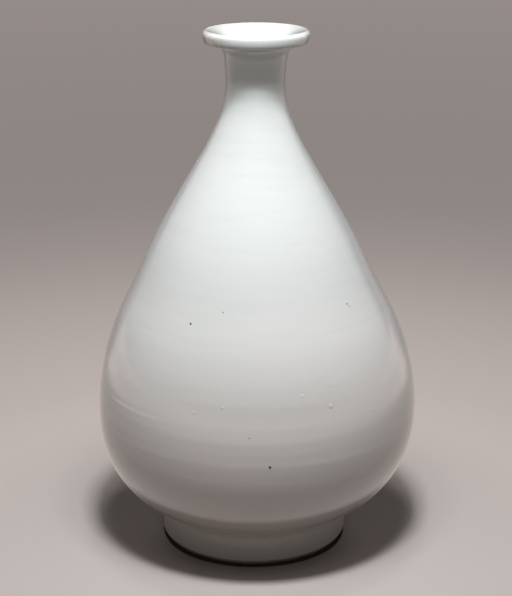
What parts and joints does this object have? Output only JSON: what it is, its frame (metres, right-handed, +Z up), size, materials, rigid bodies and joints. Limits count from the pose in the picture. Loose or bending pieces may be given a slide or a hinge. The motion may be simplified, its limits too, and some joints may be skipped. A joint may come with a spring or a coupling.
{
  "type": "porcelain bottle",
  "caption": "Free-standing white porcelain bottle with a flared lip, slim neck, heavy drop-shaped body and upright foot ring, for holding and pouring liquid.",
  "frame": {"origin": "centre of the plane that the foot ring stands on", "axes": "+Z up along the axis that the bottle is turned about; X and Y lie in the standing plane, and the picture looks along +Y"},
  "size_m": [0.1865, 0.1865, 0.3],
  "materials": {
    "bare_clay": "bare fired porcelain, matt, with kiln grit",
    "clay": "fired porcelain body, matt",
    "slip": "fired slip, matt",
    "glaze": "clear glaze over white, glossy, faint blue-green tint"
  },
  "bodies": {
    "root": {"foot_ring": "bare_clay", "lower_body": "clay", "upper_body": "clay", "neck_collar": "clay", "foot_slip_joint": "slip", "belly_slip_joint": "slip", "neck_slip_joint": "slip", "outer_glaze": "glaze", "inner_glaze": "glaze", "base_glaze": "glaze"}
  },
  "joints": []
}
